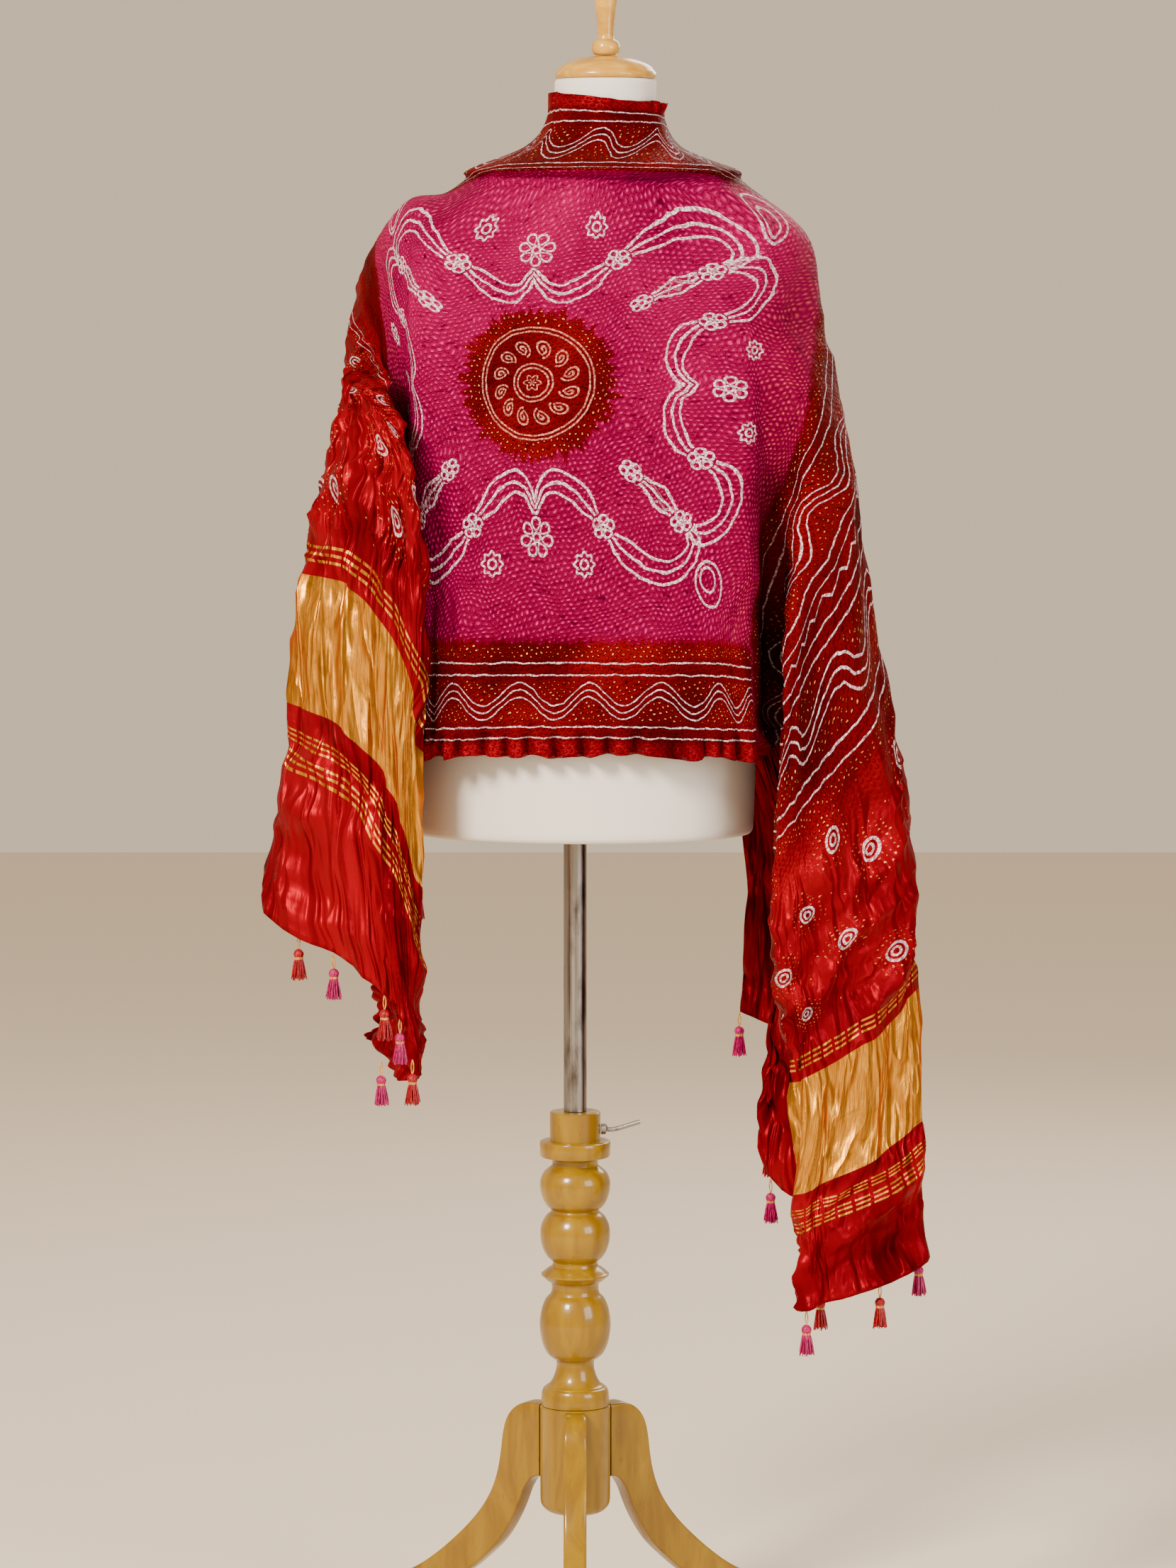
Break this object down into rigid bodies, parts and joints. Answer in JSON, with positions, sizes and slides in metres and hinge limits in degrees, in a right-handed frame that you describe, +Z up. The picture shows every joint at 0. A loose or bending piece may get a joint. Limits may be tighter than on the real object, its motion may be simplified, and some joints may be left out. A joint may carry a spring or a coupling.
{
  "type": "bandhani cloth on a dress form",
  "caption": "Long tie-dyed silk cloth with woven gold bands and tasselled hems, laid over the shoulders of a headless dress form on a turned wooden stand.",
  "frame": {"origin": "on the floor, under the middle of the whole object's outline", "axes": "+Z up, -Y towards the viewer of the cloth's back, +X to that viewer's right"},
  "size_m": [0.6572, 0.3978, 1.704],
  "materials": {
    "bandhani_silk": "crinkled silk, resist-dyed pink and red, with satin ends and gold bands",
    "form_cover": "off-white cotton cover",
    "lacquered_wood": "golden yellow gloss lacquer",
    "pole_steel": "worn plated steel",
    "screw_steel": "dull steel",
    "tassel_red": "red silk thread",
    "tassel_magenta": "magenta silk thread"
  },
  "bodies": {
    "root": {"clamp_screw": "screw_steel", "cloth": "bandhani_silk", "column": "lacquered_wood", "finial": "lacquered_wood", "hub": "lacquered_wood", "leg_1": "lacquered_wood", "leg_2": "lacquered_wood", "leg_3": "lacquered_wood", "neck_cap": "lacquered_wood", "pole": "pole_steel", "tassel_left_01": "tassel_red", "tassel_left_02": "tassel_magenta", "tassel_left_03": "tassel_red", "tassel_left_04": "tassel_magenta", "tassel_left_05": "tassel_red", "tassel_left_06": "tassel_magenta", "tassel_left_07": "tassel_red", "tassel_left_08": "tassel_magenta", "tassel_left_09": "tassel_red", "tassel_left_10": "tassel_magenta", "tassel_right_01": "tassel_magenta", "tassel_right_02": "tassel_red", "tassel_right_03": "tassel_magenta", "tassel_right_04": "tassel_red", "tassel_right_05": "tassel_magenta", "tassel_right_06": "tassel_red", "tassel_right_07": "tassel_magenta", "tassel_right_08": "tassel_red", "tassel_right_09": "tassel_magenta", "tassel_right_10": "tassel_red", "torso": "form_cover"}
  },
  "joints": []
}
